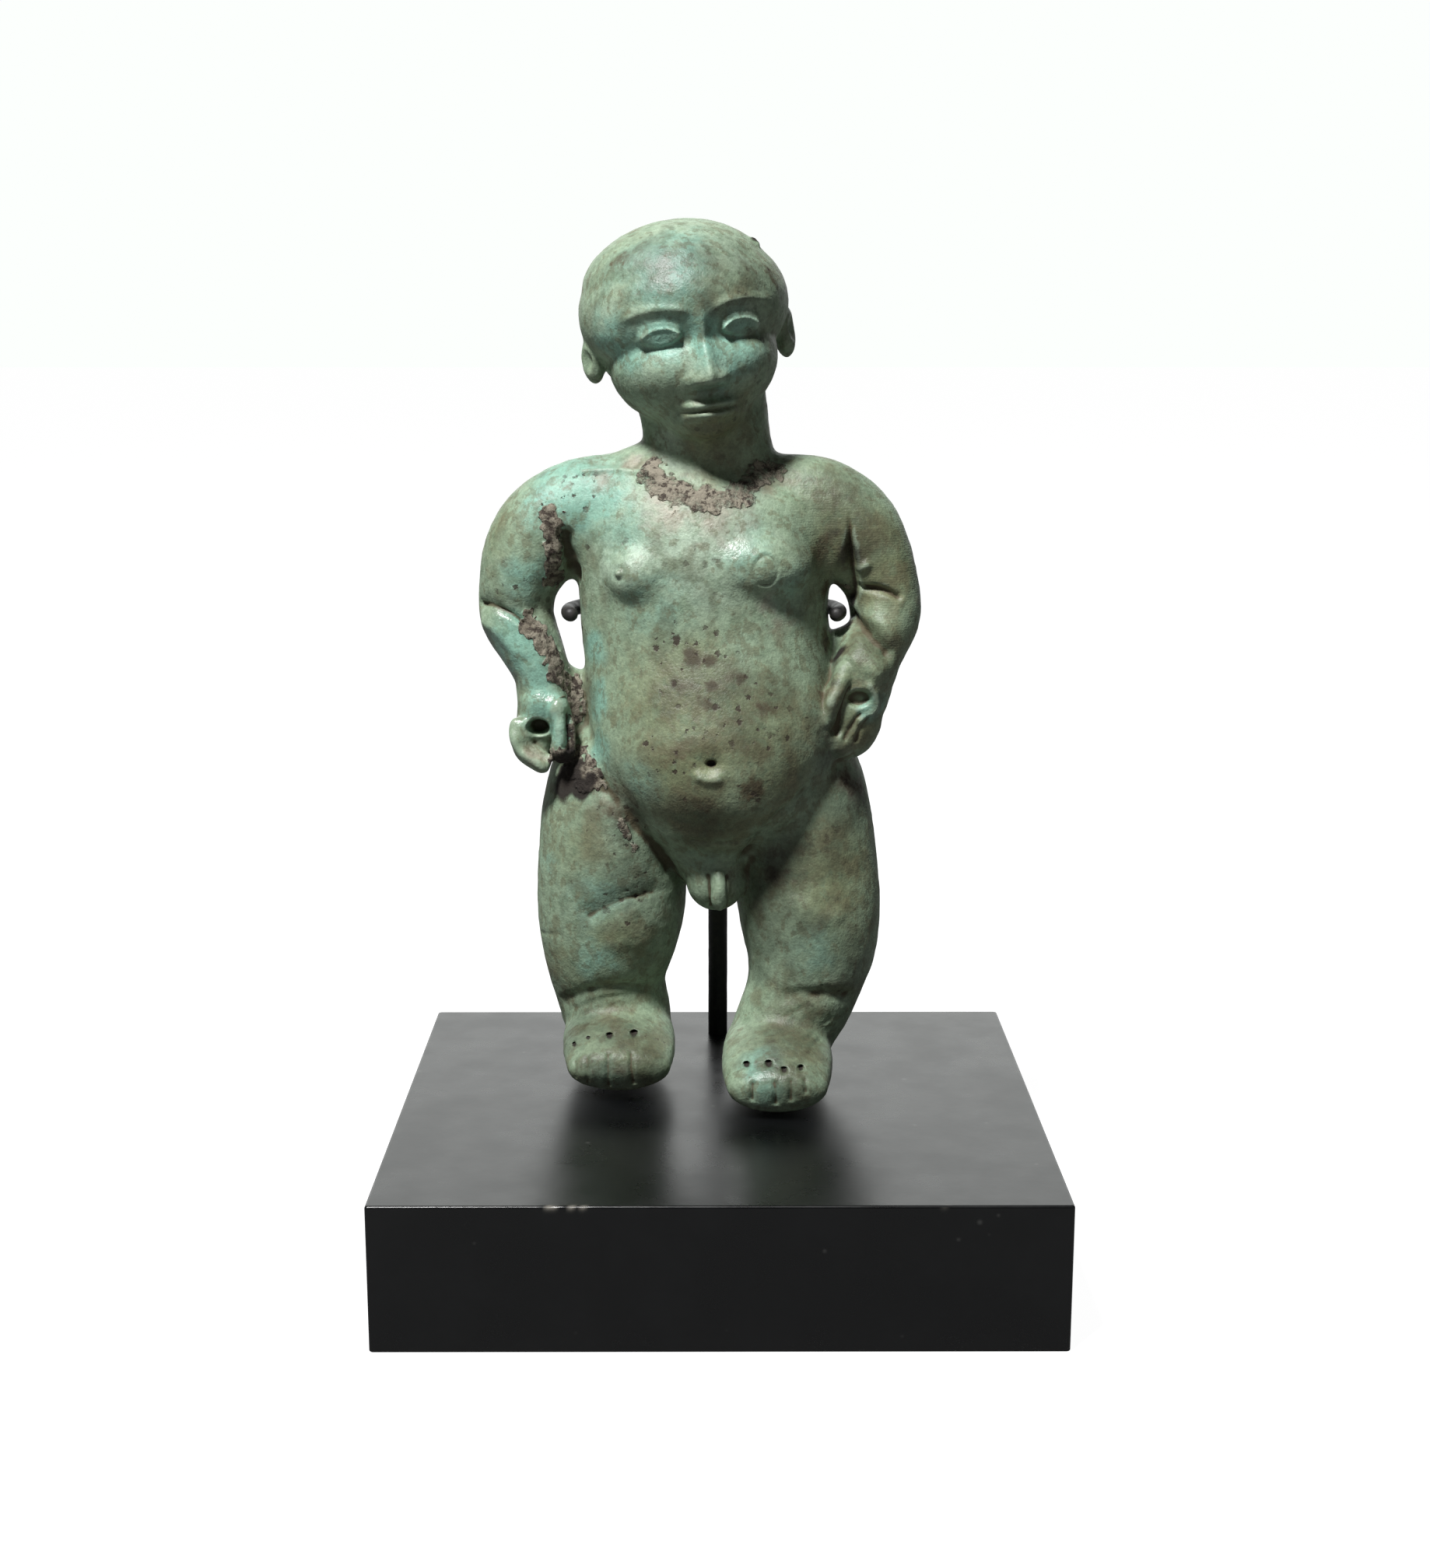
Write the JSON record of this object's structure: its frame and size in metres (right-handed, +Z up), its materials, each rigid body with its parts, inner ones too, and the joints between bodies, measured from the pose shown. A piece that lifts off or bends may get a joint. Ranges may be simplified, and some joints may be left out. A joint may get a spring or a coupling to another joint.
{
  "type": "faience pataikos figure on a display stand",
  "caption": "Standing dwarf-god figure of turquoise glazed faience, nude with fists at the hips, carried by a bent black rod on a rectangular block.",
  "frame": {"origin": "centre of the block's underside", "axes": "+Z up, -Y the way the figure looks, +X to the right of someone facing it"},
  "size_m": [0.0572, 0.0508, 0.0908],
  "materials": {
    "faience_glaze": "satin",
    "black_metal": "satin",
    "black_lacquer": "satin"
  },
  "bodies": {
    "root": {"pataikos_figure": "faience_glaze", "display_rod": "black_metal", "base_block": "black_lacquer"}
  },
  "joints": []
}
